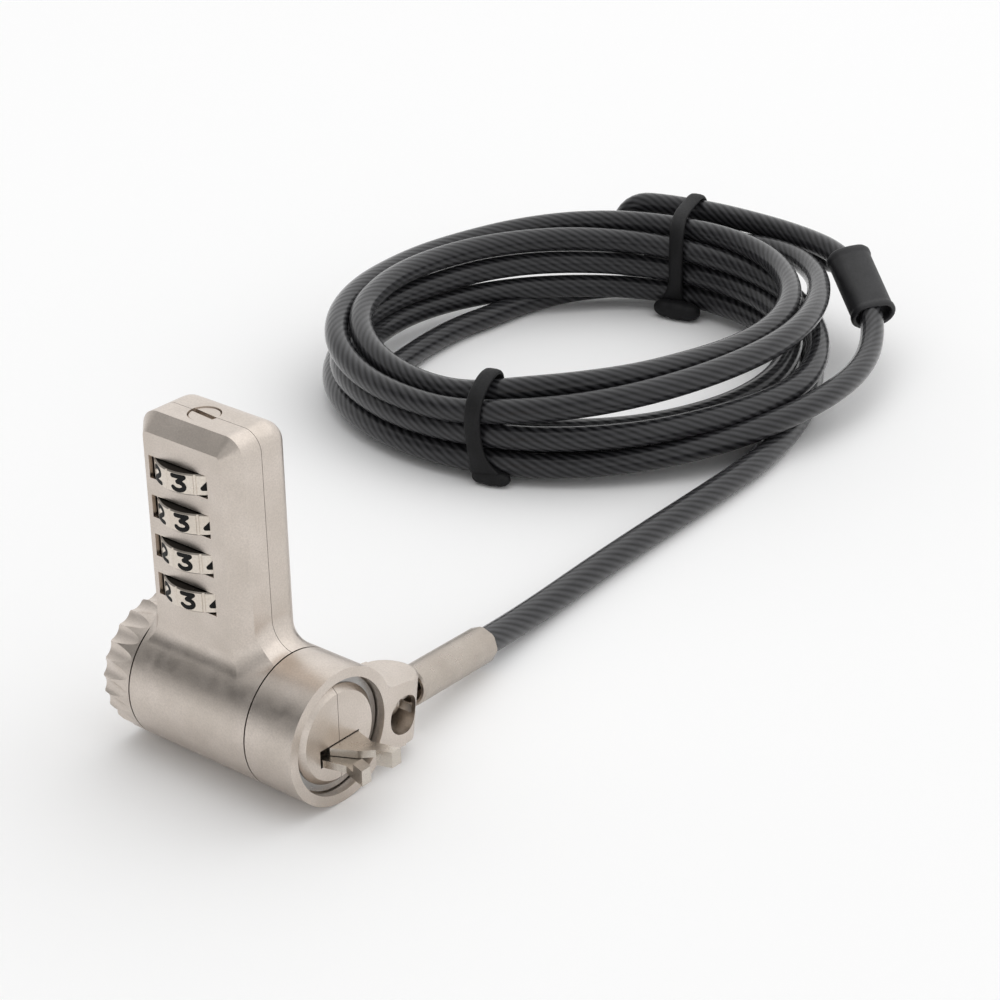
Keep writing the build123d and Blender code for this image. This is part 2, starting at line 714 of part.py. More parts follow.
# ---- write the nodes ------------------------------------------------------------------
def build():
    front, rear = housing_shells()
    nodes = {"front_shell": front, "rear_shell": rear}
    for i, (x, z) in enumerate(dowel_places(), 1):
        nodes[f"dowel_{i}"] = dowel(x, z)
    nodes["arm_pin"] = arm_pin()
    nodes["detent_spring"] = detent_spring()
    nodes["ring_retainer"] = ring_retainer()
    nodes["knob"] = knob()
    nodes["drive_shaft"] = drive_shaft()
    nodes["upper_arm"] = upper_arm()
    nodes["lower_arm"] = lower_arm()
    nodes["spindle"] = spindle()
    nodes["spindle_spring"] = spindle_spring()
    nodes["reset_screw"] = reset_screw()
    for i, z in enumerate(dial_z, 1):
        nodes[f"dial_{i}"] = dial(z)
        nodes[f"hub_{i}"] = hub(z)
    nodes["swivel_ring"] = swivel_ring()
    nodes["cable_stud"] = cable_stud()
    nodes["cable_ferrule"] = cable_ferrule()
    nodes["cable_lead"] = cable_tube(lead_route, "lead")
    nodes["cable_coil"] = cable_coil()
    nodes["cable_tail"] = cable_tube(tail_route, "tail")
    nodes["end_loop"] = cable_tube(loop_route, "loop")
    nodes["end_sleeve"] = end_sleeve()
    for name in tie_angles:
        nodes[name] = cable_tie(name)
    return nodes


os.makedirs("parts", exist_ok=True)
for node, shape in build().items():
    export_step(Pos(0, 0, tbar_drop) * shape, f"parts/{node}.step")
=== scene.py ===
import bpy
import bmesh
import json
from math import atan2, cos, exp, hypot, pi, radians, sin
from mathutils import Matrix, Vector


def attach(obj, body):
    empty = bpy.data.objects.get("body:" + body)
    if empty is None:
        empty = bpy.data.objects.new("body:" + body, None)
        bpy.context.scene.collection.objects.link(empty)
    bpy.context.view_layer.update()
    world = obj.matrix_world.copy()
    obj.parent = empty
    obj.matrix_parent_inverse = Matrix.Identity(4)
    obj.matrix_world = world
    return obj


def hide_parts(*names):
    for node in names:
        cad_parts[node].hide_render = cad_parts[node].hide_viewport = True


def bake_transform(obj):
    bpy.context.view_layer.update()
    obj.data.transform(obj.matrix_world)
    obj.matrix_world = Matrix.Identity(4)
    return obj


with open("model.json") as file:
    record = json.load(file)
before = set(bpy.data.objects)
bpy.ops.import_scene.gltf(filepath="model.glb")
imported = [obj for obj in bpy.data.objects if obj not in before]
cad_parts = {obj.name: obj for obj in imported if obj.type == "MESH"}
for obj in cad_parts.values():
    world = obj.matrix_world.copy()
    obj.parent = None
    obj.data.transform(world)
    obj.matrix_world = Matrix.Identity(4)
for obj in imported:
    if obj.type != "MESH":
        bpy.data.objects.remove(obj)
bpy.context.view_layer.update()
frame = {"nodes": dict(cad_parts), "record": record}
MM = 0.001

# ---- camera ---------------------------------------------------------------------------
VIEW_AZIMUTH, VIEW_ELEVATION = radians(37.93), radians(27.5)
VIEW_DISTANCE = 0.3542
VIEW_TARGET = Vector((0.0487, 0, 0.047))
SENSOR_WIDTH, LENS = 36, 97.84
SHIFT_X, SHIFT_Y = -0.1021, 0.0619


def make_camera():
    """Camera at the photograph's place and angle."""
    data = bpy.data.cameras.new("view")
    data.sensor_width = SENSOR_WIDTH
    data.lens = LENS
    data.shift_x = SHIFT_X
    data.shift_y = SHIFT_Y
    data.clip_start = 0.02
    camera = bpy.data.objects.new("view", data)
    bpy.context.scene.collection.objects.link(camera)
    level = cos(VIEW_ELEVATION)
    back = Vector((sin(VIEW_AZIMUTH) * level, -cos(VIEW_AZIMUTH) * level, sin(VIEW_ELEVATION)))
    camera.location = VIEW_TARGET + back * VIEW_DISTANCE
    camera.rotation_euler = back.to_track_quat("Z", "Y").to_euler()
    bpy.context.scene.camera = camera


make_camera()


# ---- small helpers --------------------------------------------------------------------
def link(name, mesh_or_curve, body):
    """New piece that rides on a body."""
    piece = bpy.data.objects.new(name, mesh_or_curve)
    bpy.context.scene.collection.objects.link(piece)
    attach(piece, body)
    return piece


def mesh_from(name, verts, faces, smooth=True):
    """Mesh of vertices and faces, shaded smooth if asked."""
    mesh = bpy.data.meshes.new(name)
    mesh.from_pydata([tuple(v) for v in verts], [], faces)
    mesh.validate()
    mesh.update()
    for polygon in mesh.polygons:
        polygon.use_smooth = smooth
    return mesh


def ring_faces(rings, sides, closed=False):
    """Quads between rings of points, and from the last ring to the first if closed."""
    faces = []
    for i in range(rings if closed else rings - 1):
        j = (i + 1) % rings
        for k in range(sides):
            n = (k + 1) % sides
            faces.append((i * sides + k, i * sides + n, j * sides + n, j * sides + k))
    return faces


def end_faces(rings, sides):
    """Faces that close the first and the last ring of points."""
    last = (rings - 1) * sides
    return [tuple(reversed(range(sides))), tuple(range(last, last + sides))]


def nurbs_line(name, points, steps, closed=False):
    """One smooth NURBS spline in metres, from control points in millimetres."""
    curve = bpy.data.curves.new(name, "CURVE")
    curve.dimensions = "3D"
    spline = curve.splines.new("NURBS")
    spline.points.add(len(points) - 1)
    for point, place in zip(spline.points, points):
        point.co = (*[c * MM for c in place], 1)
    spline.order_u = 3
    if closed:
        spline.use_cyclic_u = True
    else:
        spline.use_endpoint_u = True
    spline.resolution_u = steps
    curve.resolution_u = steps
    return curve


def line_points(curve):
    """Points that Blender works out along a curve with no bevel."""
    holder = bpy.data.objects.new("line", curve)
    bpy.context.scene.collection.objects.link(holder)
    bpy.context.view_layer.update()
    mesh = bpy.data.meshes.new_from_object(holder)
    points = [v.co.copy() for v in mesh.vertices]
    bpy.data.objects.remove(holder)
    bpy.data.meshes.remove(mesh)
    return points


# ---- the cable's line -----------------------------------------------------------------
# Lengths are in millimetres, as in part.py.
CABLE_D = 4.7
CABLE_SIDES = 24
CABLE_STEPS = 10             # of the NURBS line, between control points
CABLE_SPACING = 1.1          # between the tube's rings of points
FLOOR = -8.7
AXIS_Z = 2.3                 # barrel's axis
PIVOT_X, PIVOT_Y = -4.6, 14.4   # cable's pivot in the lug, while the lug is level
CABLE_YAW, RING_DROOP = radians(10), radians(9)
COIL_X, COIL_Y = -69.5, 143.0
COIL_LIFT = 1.2              # under the lowest turn, where the straps pass
LAYER_PITCH = 4.67
LAYER_LOW = FLOOR + COIL_LIFT + CABLE_D / 2
LAYER_TOP = LAYER_LOW + 3 * LAYER_PITCH
FLOOR_LINE = FLOOR + CABLE_D / 2
TURN_STEP = 15               # degrees between control points of the coil
TURN_SPREAD = 1.004          # outward, because a NURBS line cuts inside its control points


def polar(radius, angle, z):
    """Point beside the coil at an angle about its centre."""
    return (COIL_X + radius * cos(radians(angle)), COIL_Y + radius * sin(radians(angle)), z)


def cable_line(distance):
    """Point of the ferrule's axis at a distance from the cable's pivot in the lug."""
    y = PIVOT_Y + distance * cos(CABLE_YAW)
    return (PIVOT_X - distance * sin(CABLE_YAW), y * cos(RING_DROOP), AXIS_Z - y * sin(RING_DROOP))


lead_route = [
    cable_line(17.6),
    cable_line(33.5),
    (-12.1, 61.0, FLOOR_LINE + 0.2),
    (-13.6, 78.0, FLOOR_LINE + 0.05),
    (-14.6, 96.0, FLOOR_LINE),
    (-15.2, 114.0, FLOOR_LINE + 0.05),
    (-16.3, 132.0, FLOOR_LINE),
    (-20.0, 149.0, FLOOR_LINE + 0.1),
]
tail_route = [
    polar(47.8, -52, LAYER_LOW + 0.25),
    polar(48.3, -36, LAYER_LOW + 1.05),
    polar(49.9, -20, LAYER_LOW + 2.35),
    polar(52.0, -4, LAYER_LOW + 3.6),
    polar(54.2, 11, LAYER_LOW + 4.0),
    polar(56.9, 25, LAYER_LOW + 4.1),
    polar(59.2, 37, LAYER_LOW + 5.1),
    polar(60.5, 48, LAYER_LOW + 8.4),
]
loop_route = [
    polar(59.2, 57, LAYER_TOP - 0.6),
    polar(58.4, 63.5, LAYER_TOP + 0.6),
    polar(57.6, 71.5, LAYER_TOP + 0.5),
    polar(56.8, 80, LAYER_TOP + 0.4),
    polar(56.3, 89, LAYER_TOP + 0.3),
    polar(56.2, 96.5, LAYER_TOP + 0.35),
    polar(56.3, 103.5, LAYER_TOP + 0.25),
    polar(56.4, 109.6, LAYER_TOP + 0.3),
    polar(56.3, 114, LAYER_TOP + 0.2),
    polar(56.0, 116.9, LAYER_TOP - 1.8),
    polar(55.5, 118, LAYER_TOP - 5.1),
    polar(55.1, 116.9, LAYER_TOP - 8.4),
    polar(54.9, 114, LAYER_TOP - 10.4),
    polar(55.0, 109.6, LAYER_TOP - 10.2),
    polar(55.5, 103.3, LAYER_TOP - 8.3),
    polar(56.2, 96.5, LAYER_TOP - 6.2),
    polar(57.0, 89, LAYER_TOP - 5.1),
    polar(57.9, 81, LAYER_TOP - 4.7),
    polar(59.1, 72.5, LAYER_TOP - 4.0),
    polar(60.5, 65, LAYER_TOP - 2.7),
    polar(60.9, 57.5, LAYER_TOP - 1.6),
]

# Where each turn of the coil passes, one list per turn: angle, distance from the coil's
# centre, height.
turns = [
    [(25, 47.3, -5.9), (60, 47.8, -5.5), (100, 47.4, -5.2), (125, 43.5, -6.0), (145, 37.6, -6.35),
     (160, 33.6, -6.35), (185, 32.4, -6.35), (205, 34.2, -6.3), (230, 39.5, -5.8), (262, 42.6, -5.2),
     (340, 42.4, -5.15)],
    [(25, 42.6, -5.1), (65, 44.5, -5.1), (100, 43.4, -4.9), (130, 37.6, -3.2), (150, 37.2, -2.9),
     (172, 38.8, -2.9), (205, 41.4, -2.4), (235, 43.0, -0.9), (289, 42.7, -0.3), (340, 41.8, -0.4)],
    [(25, 42.4, -0.4), (65, 44.6, -0.2), (100, 43.0, 0.2), (130, 37.9, 2.1), (150, 37.9, 2.3),
     (175, 38.4, 2.2), (205, 43.2, 1.4), (235, 47.6, 0.3), (262, 48.0, -0.2), (289, 47.7, 0.1),
     (315, 47.7, 0.8), (345, 47.7, 1.4)],
    [(10, 49.2, 0.9), (30, 48.6, 1.6), (65, 46.0, 4.0), (100, 42.6, 5.4), (130, 38.2, 7.3),
     (150, 37.7, 7.5), (180, 38.6, 7.5), (205, 40.2, 7.8), (225, 42.8, 7.3), (246, 43.2, 5.8),
     (270, 43.4, 5.0), (284, 43.0, 5.6), (298, 41.8, 8.3), (320, 40.9, 9.4), (340, 39.3, 9.5)],
    [(0, 39.4, 9.2), (25, 41.2, 8.9), (45, 43.2, 8.9), (60, 44.8, 8.9), (78, 46.7, 8.9),
     (97, 45.9, 8.8), (115, 46.6, 8.3), (130, 45.4, 8.1), (145, 44.2, 7.6), (160, 43.2, 7.1),
     (180, 43.2, 6.8), (195, 43.7, 6.8), (210, 45.4, 7.0), (232, 48.1, 5.9), (254, 48.4, 4.0),
     (283, 48.0, 3.9), (297, 47.4, 5.8), (316, 46.8, 7.6), (332, 45.2, 8.7)],
    [(-10, 44.2, 9.1), (8, 44.8, 9.1), (22, 45.8, 8.9), (38, 47.8, 8.5), (53, 50.8, 8.1),
     (68, 53.0, 7.6), (83, 53.4, 6.0), (100, 51.2, 3.4), (125, 47.6, 1.5), (150, 44.8, 1.3),
     (180, 44.6, 0.4), (200, 46.2, -2.6), (225, 48.6, -4.9), (262, 48.0, -5.1), (295, 47.8, -5.1)],
]


def coil_points():
    """Points of the coil's turns, spaced evenly about its centre and read between their stations."""
    stations = [(angle + 360 * number, radius, z)
                for number, turn in enumerate(turns) for angle, radius, z in turn]
    points = []
    angle, last_angle = stations[0][0], stations[-1][0]
    while angle <= last_angle:
        for (a0, r0, z0), (a1, r1, z1) in zip(stations, stations[1:]):
            if a0 <= angle <= a1:
                share = (angle - a0) / (a1 - a0)
                radius = (r0 + (r1 - r0) * share) * TURN_SPREAD
                points.append(polar(radius, angle, z0 + (z1 - z0) * share))
                break
        angle += TURN_STEP
    return points


def even(points, spacing):
    """The same line with points a set distance apart."""
    out = [points[0]]
    left = spacing
    for a, b in zip(points, points[1:]):
        length = (b - a).length
        while left <= length and length > 0:
            a = a + (b - a) * (left / length)
            out.append(a.copy())
            length = (b - a).length
            left = spacing
        left -= length
    return out


def tube(name, points, radius, sides):
    """Tube along a line with UVs: distance along it in centimetres and turns around it."""
    tangents = [(b - a).normalized() for a, b in zip(points, points[1:])]
    tangents.append(tangents[-1])
    normal = tangents[0].orthogonal().normalized()
    verts, marks = [], []
    travelled = 0.0
    for i, (point, tangent) in enumerate(zip(points, tangents)):
        normal = (normal - tangent * normal.dot(tangent)).normalized()
        side = tangent.cross(normal)
        if i:
            travelled += (point - points[i - 1]).length
        marks.append(travelled * 100)
        for k in range(sides):
            turn = 2 * pi * k / sides
            verts.append(point + (normal * cos(turn) + side * sin(turn)) * radius)
    uvs = []
    for u0, u1 in zip(marks, marks[1:]):
        for k in range(sides):
            v0, v1 = k / sides, (k + 1) / sides
            uvs += [(u0, v0), (u0, v1), (u1, v1), (u1, v0)]
    uvs += [(0, 0)] * sides + [(marks[-1], 0)] * sides
    count = len(points)
    mesh = mesh_from(name, verts, ring_faces(count, sides) + end_faces(count, sides))
    layer = mesh.uv_layers.new(name="length")
    for loop, uv in zip(layer.data, uvs):
        loop.uv = uv
    return mesh


cable_points = lead_route + coil_points() + tail_route + loop_route
cable_curve = nurbs_line("cable_line", cable_points, CABLE_STEPS)
cable_path = even(line_points(cable_curve), CABLE_SPACING * MM)

cable_tube = tube("cable", cable_path, CABLE_D / 2 * MM, CABLE_SIDES)
cable = link("cable", cable_tube, "cable")
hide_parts("cable_lead", "cable_coil", "cable_tail", "end_loop")

# ---- ties and sleeve ------------------------------------------------------------------
STRAP_WIDTH, STRAP_THICK = 3.2, 0.75
STRAP_STEPS = 14             # of a strap's line, between control points
FRONT_ANGLE, REAR_ANGLE = -73.5, 100
# How much wider a strap is at its foot, and how far from the foot that fades.
FOOT_SPREAD, FOOT_REACH = 1.1, 3.2
# Cross-section of a strap: shares of its width and of its thickness.
STRAP_SECTION = [(-0.5, 0), (-0.48, 0.5), (-0.38, 0.84), (-0.18, 1.0)]
STRAP_SECTION += [(0.18, 1.0), (0.38, 0.84), (0.48, 0.5), (0.5, 0)]

END_ROWS, END_COLUMNS = 24, 40
END_POWER_LONG, END_POWER_ROUND = 0.7, 0.8   # below 1 they square a lump's corners
CREASES = (0.16, -0.18)      # shares of a strap end's width, from its middle
CREASE_DEPTH, CREASE_WIDTH = 0.12, 0.45


def strap(name, node, angle, outline, foot):
    """Flat band around the bundle that spreads at its foot.

    Outline corners are distance from the coil's centre, height and sideways shift.
    """
    points = line_points(nurbs_line(name + "_line", outline, STRAP_STEPS, closed=True))
    centre = sum(points, Vector()) / len(points)
    around = Matrix.Rotation(radians(angle), 3, "Z")
    verts = []
    count = len(points)
    for i, p in enumerate(points):
        tangent = (points[(i + 1) % count] - points[i - 1]).normalized()
        out = Vector((tangent.y, -tangent.x, 0)).normalized()
        if out.dot(p - centre) < 0:
            out.negate()
        away = hypot(p.x / MM - foot[0], p.y / MM - foot[1])
        wide = STRAP_WIDTH * (1 + FOOT_SPREAD * exp(-((away / FOOT_REACH) ** 2)))
        for across, high in STRAP_SECTION:
            q = p + out * (high * STRAP_THICK * MM)
            local = Vector((q.x, p.z + across * wide * MM, q.y))
            verts.append(around @ local + Vector((COIL_X * MM, COIL_Y * MM, 0)))
    mesh = mesh_from(name, verts, ring_faces(count, len(STRAP_SECTION), closed=True))
    bm = bmesh.new()
    bm.from_mesh(mesh)
    bmesh.ops.recalc_face_normals(bm, faces=bm.faces)
    bm.to_mesh(mesh)
    bm.free()
    piece = link(name, mesh, "cable")
    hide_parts(node)
    return piece


def signed_power(value, power):
    """Size of a value raised to a power, with the value's sign."""
    return abs(value) ** power * (1 if value >= 0 else -1)


def strap_end(name, angle, r, z, shift, wide, deep, high):
    """Folded end of a strap, a soft lump with two creases across it."""
    around = Matrix.Rotation(radians(angle), 3, "Z")
    centre = Vector((COIL_X, COIL_Y, 0))
    verts = []
    for i in range(END_ROWS + 1):
        up = pi * (i / END_ROWS - 0.5)
        for k in range(END_COLUMNS):
            turn = 2 * pi * k / END_COLUMNS
            x = deep / 2 * signed_power(cos(up), END_POWER_LONG) * signed_power(cos(turn), END_POWER_ROUND)
            y = wide / 2 * signed_power(cos(up), END_POWER_LONG) * signed_power(sin(turn), END_POWER_ROUND)
            crease = 1 - CREASE_DEPTH * sum(exp(-((y - at * wide) / CREASE_WIDTH) ** 2) for at in CREASES)
            height = high / 2 * signed_power(sin(up), END_POWER_ROUND)
            place = Vector((r + x * crease, shift + y, z + height * crease))
            verts.append((around @ place + centre) * MM)
    mesh = mesh_from(name, verts, ring_faces(END_ROWS + 1, END_COLUMNS))
    return link(name, mesh, "cable")


LOW = LAYER_LOW - CABLE_D / 2
front_outline = [
    (40.0, LOW, 2.2), (45.0, LOW - 0.2, 2.8), (49.8, LOW - 0.1, 3.0), (51.0, -3.5, 1.2),
    (50.5, 1.5, 0), (50.4, 6.0, 0), (47.6, 8.7, 0), (42.8, 10.2, 0), (39.3, 9.4, 0),
    (39.3, 5.5, 0), (39.7, 0.0, 1.0),
]
rear_outline = [
    (40.8, LOW, -1.0), (46.0, LOW - 0.2, 0), (51.0, LOW, 0.6), (57.4, -3.0, 1.0),
    (59.2, 3.0, 1.2), (59.2, 9.0, 1.2), (57.4, 12.2, 1.2), (51.5, 12.0, 0.4),
    (44.6, 11.8, -0.8), (40.6, 10.2, -2.2), (39.4, 5.0, -2.6), (39.7, -1.0, -2.6),
]
straps = [
    strap("strap_front", "tie_front", FRONT_ANGLE, front_outline, (50.4, LOW)),
    strap("strap_rear", "tie_rear", REAR_ANGLE, rear_outline, (40.6, LOW)),
    strap_end("strap_end_front", FRONT_ANGLE, r=49.9, z=-7.15, shift=3.3, wide=7.6, deep=3.0, high=2.9),
    strap_end("strap_end_rear", REAR_ANGLE, r=39.0, z=-6.75, shift=-3.2, wide=10.5, deep=4.4, high=3.8),
]

sleeve_low = Vector(polar(60.6, 45.5, LAYER_TOP - 6.9)) * MM
sleeve_high = Vector(polar(59.8, 59.7, LAYER_TOP + 0.5)) * MM
SLEEVE_HALF_WIDE, SLEEVE_HALF_THIN = 4.7 * MM, 3.5 * MM
SLEEVE_WIDE_WAY = Vector((-0.77, -0.6, 0))
SLEEVE_SIDES = 48
SIDE_EASE = 3                # how sharply the oval's flat sides begin
# Sleeve's mouth, lip and start of its body: distance in from an end, and how far inside the lip.
sleeve_lip = [(3.0, 1.05), (1.2, 1.0), (0.35, 0.95), (0.0, 0.6), (0.05, 0.25), (0.45, 0.0)]
sleeve_lip += [(1.1, 0.02), (1.5, 0.22), (2.0, 0.25)]


def oval_sleeve():
    """Oval sleeve with rolled lips and a mouth that the cable enters at each end."""
    axis = sleeve_high - sleeve_low
    length = axis.length
    axis.normalize()
    wide = (SLEEVE_WIDE_WAY - axis * SLEEVE_WIDE_WAY.dot(axis)).normalized()
    thin = axis.cross(wide)
    rings = [(d * MM, inset * MM) for d, inset in sleeve_lip]
    rings += [(length - d * MM, inset * MM) for d, inset in reversed(sleeve_lip)]
    flat = SLEEVE_HALF_WIDE - SLEEVE_HALF_THIN
    verts = []
    for along, inset in rings:
        for k in range(SLEEVE_SIDES):
            turn = 2 * pi * k / SLEEVE_SIDES
            c, s = cos(turn), sin(turn)
            x = (flat if c > 0 else -flat) * min(1, abs(c) * SIDE_EASE) + (SLEEVE_HALF_THIN - inset) * c
            y = (SLEEVE_HALF_THIN - inset) * s
            verts.append(sleeve_low + axis * along + wide * x + thin * y)
    faces = ring_faces(len(rings), SLEEVE_SIDES) + end_faces(len(rings), SLEEVE_SIDES)
    piece = link("sleeve_oval", mesh_from("sleeve_oval", verts, faces), "cable")
    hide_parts("end_sleeve")
    return piece


sleeve = oval_sleeve()


# ---- spindle spring -------------------------------------------------------------------
def squeezed_spring():
    """Copy of the spindle spring in its place, with its transform baked into the mesh."""
    piece = bpy.data.objects.new("spring_coil", frame["nodes"]["spindle_spring"].data.copy())
    bpy.context.scene.collection.objects.link(piece)
    piece.matrix_world = frame["nodes"]["spindle_spring"].matrix_world.copy()
    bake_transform(piece)
    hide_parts("spindle_spring")
    return piece


spring = squeezed_spring()


# ---- digits ---------------------------------------------------------------------------
def arc(x, y, rx, ry, start, stop, steps):
    """Points of an elliptical arc between two angles in degrees."""
    angles = [radians(start + (stop - start) * i / steps) for i in range(steps + 1)]
    return [(x + rx * cos(angle), y + ry * sin(angle)) for angle in angles]


# Strokes in a cell one wide and one high.
digit_strokes = {
    0: [arc(0.5, 0.5, 0.36, 0.5, 0, 360, 24)],
    1: [[(0.3, 0.8), (0.56, 1.0), (0.56, 0.0)]],
    2: [arc(0.5, 0.7, 0.34, 0.3, 165, -35, 14) + [(0.12, 0.0), (0.9, 0.0)]],
    3: [[(0.12, 1.0), (0.84, 1.0), (0.44, 0.6)] + arc(0.46, 0.3, 0.38, 0.3, 85, -150, 14)],
    4: [[(0.66, 0.0), (0.66, 1.0), (0.08, 0.28), (0.94, 0.28)]],
    5: [[(0.82, 1.0), (0.24, 1.0), (0.17, 0.56)] + arc(0.46, 0.32, 0.38, 0.32, 115, -150, 14)],
    6: [[(0.7, 1.0)] + arc(0.5, 0.3, 0.38, 0.3, 150, 510, 24)],
    7: [[(0.1, 1.0), (0.88, 1.0), (0.4, 0.0)]],
    8: [arc(0.5, 0.75, 0.29, 0.25, 0, 360, 20), arc(0.5, 0.26, 0.37, 0.27, 0, 360, 22)],
    9: [[(0.3, 0.0)] + arc(0.5, 0.7, 0.38, 0.3, -30, 330, 24)],
}
DIAL_X, DIAL_R = -24.3, 7.75
DIAL_Z = [40.0, 33.6, 27.2, 20.8]
DIGIT_LIFT = 0.012           # above the dial's rim
DIGIT_STEP = 36              # degrees from one digit to the next
FRONT_DIGIT, FRONT_TURN = 3, 12   # digit nearest the front, and its degrees round from there
DIGIT_HIGH, DIGIT_WIDE, STROKE = 2.9, 2.75, 0.72
STROKE_STEP = 0.3            # along a stroke, short enough to bend with the rim
STROKE_END_STEPS = 8
CORNER_COS = 0.7             # a bend whose cosine is below this is a corner
MITRE_LIMIT = 0.5


def split_at_corners(points):
    """The same stroke as pieces that meet at its sharp corners."""
    pieces = [[points[0]]]
    for before, here, after in zip(points, points[1:], points[2:]):
        pieces[-1].append(here)
        way_in = atan2(here[1] - before[1], here[0] - before[0])
        way_out = atan2(after[1] - here[1], after[0] - here[0])
        if cos(way_out - way_in) < CORNER_COS:
            pieces.append([here])
    pieces[-1].append(points[-1])
    return pieces


def fine_points(stroke):
    """Stroke's points in millimetres from the digit's middle, with more points between them."""
    points = [((x - 0.5) * DIGIT_WIDE, (y - 0.5) * (DIGIT_HIGH - STROKE)) for x, y in stroke]
    fine = []
    for (x0, y0), (x1, y1) in zip(points, points[1:]):
        steps = max(1, int(hypot(x1 - x0, y1 - y0) / STROKE_STEP))
        fine += [(x0 + (x1 - x0) * i / steps, y0 + (y1 - y0) * i / steps) for i in range(steps)]
    fine.append(points[-1])
    return fine


def stroke_edges(points, half):
    """Left and right edges of a stroke, mitred where it bends."""
    left, right = [], []
    for i, p in enumerate(points):
        before = points[max(i - 1, 0)]
        after = points[min(i + 1, len(points) - 1)]
        d1 = Vector((p[0] - before[0], p[1] - before[1])) if i else None
        d2 = Vector((after[0] - p[0], after[1] - p[1])) if i < len(points) - 1 else None
        d1 = d1 or d2
        d2 = d2 or d1
        d1, d2 = d1.normalized(), d2.normalized()
        n1, n2 = Vector((-d1.y, d1.x)), Vector((-d2.y, d2.x))
        n = (n1 + n2).normalized()
        reach = half / max(MITRE_LIMIT, n.dot(n1))
        left.append((p[0] + n.x * reach, p[1] + n.y * reach))
        right.append((p[0] - n.x * reach, p[1] - n.y * reach))
    return left, right


def stroke_end(end, before):
    """Half circle around the end of a stroke that comes from the point before it."""
    base = atan2(end[1] - before[1], end[0] - before[0])
    ways = [base + pi * (i / STROKE_END_STEPS - 0.5) for i in range(STROKE_END_STEPS + 1)]
    return [(end[0] + STROKE / 2 * cos(way), end[1] + STROKE / 2 * sin(way)) for way in ways]


def digits_for(dial):
    """Filled digits of one dial, a hair above its rim."""
    verts, faces = [], []
    radius = DIAL_R + DIGIT_LIFT
    for digit, strokes in digit_strokes.items():
        middle = radians(FRONT_TURN + (digit - FRONT_DIGIT) * DIGIT_STEP)

        def on_rim(x, y):
            turn = middle + x / radius
            return Vector((DIAL_X + radius * sin(turn), -radius * cos(turn), DIAL_Z[dial] + y)) * MM

        for stroke in [piece for whole in strokes for piece in split_at_corners(whole)]:
            fine = fine_points(stroke)
            start = len(verts)
            for left, right in zip(*stroke_edges(fine, STROKE / 2)):
                verts += [on_rim(*left), on_rim(*right)]
            for i in range(len(fine) - 1):
                k = start + 2 * i
                faces.append((k, k + 1, k + 3, k + 2))
            for end, before in ((fine[0], fine[1]), (fine[-1], fine[-2])):
                first = len(verts)
                verts += [on_rim(*point) for point in stroke_end(end, before)]
                faces.append(tuple(range(first, len(verts))))
    mesh = mesh_from("digits", verts, faces, smooth=False)
    bm = bmesh.new()
    bm.from_mesh(mesh)
    centre = Vector((DIAL_X * MM, 0, 0))
    for face in bm.faces:
        out = face.calc_center_median() - centre
        out.z = 0
        if face.normal.dot(out) < 0:
            face.normal_flip()
    bm.to_mesh(mesh)
    bm.free()
    return link(f"digits_{dial + 1}", mesh, f"dial_{dial + 1}")


digit_pieces = [digits_for(dial) for dial in range(len(DIAL_Z))]


# ---- materials ------------------------------------------------------------------------
# Noise scales are in turns per metre, and bump distances in metres.
def material(name):
    """Empty node material with its shader, and the tree's nodes and links."""
    made = bpy.data.materials.new(name)
    made.use_nodes = True
    tree = made.node_tree
    tree.nodes.clear()
    out = tree.nodes.new("ShaderNodeOutputMaterial")
    shader = tree.nodes.new("ShaderNodeBsdfPrincipled")
    tree.links.new(shader.outputs[0], out.inputs[0])
    return made, tree, shader


def noise(tree, scale, detail=3, roughness=0.5):
    """Noise node's value on object coordinates."""
    node = tree.nodes.new("ShaderNodeTexNoise")
    node.inputs["Scale"].default_value = scale
    node.inputs["Detail"].default_value = detail
    node.inputs["Roughness"].default_value = roughness
    tree.links.new(tree.nodes.new("ShaderNodeTexCoord").outputs["Object"], node.inputs["Vector"])
    return node.outputs["Fac"]


def remap(tree, value, low, high, to_low, to_high):
    """Value scaled from one range to another and clamped."""
    node = tree.nodes.new("ShaderNodeMapRange")
    for key, number in zip(("From Min", "From Max", "To Min", "To Max"), (low, high, to_low, to_high)):
        node.inputs[key].default_value = number
    tree.links.new(value, node.inputs["Value"])
    return node.outputs["Result"]


def mix_colour(tree, factor, a, b):
    """Mix of two colours by a factor."""
    node = tree.nodes.new("ShaderNodeMix")
    node.data_type = "RGBA"
    tree.links.new(factor, node.inputs["Factor"])
    for socket, value in ((node.inputs["A"], a), (node.inputs["B"], b)):
        if isinstance(value, tuple):
            socket.default_value = (*value, 1)
        else:
            tree.links.new(value, socket)
    return node.outputs["Result"]


def bump(tree, height, strength, distance):
    """Bump from a height."""
    node = tree.nodes.new("ShaderNodeBump")
    node.inputs["Strength"].default_value = strength
    node.inputs["Distance"].default_value = distance
    tree.links.new(height, node.inputs["Height"])
    return node.outputs["Normal"]


def calculate(tree, operation, *values):
    """Math node's result on values or numbers."""
    node = tree.nodes.new("ShaderNodeMath")
    node.operation = operation
    for socket, value in zip(node.inputs, values):
        if isinstance(value, (int, float)):
            socket.default_value = value
        else:
            tree.links.new(value, socket)
    return node.outputs[0]


def scaled(colour, factor):
    """Darker or paler shade of a colour."""
    return tuple(c * factor for c in colour)


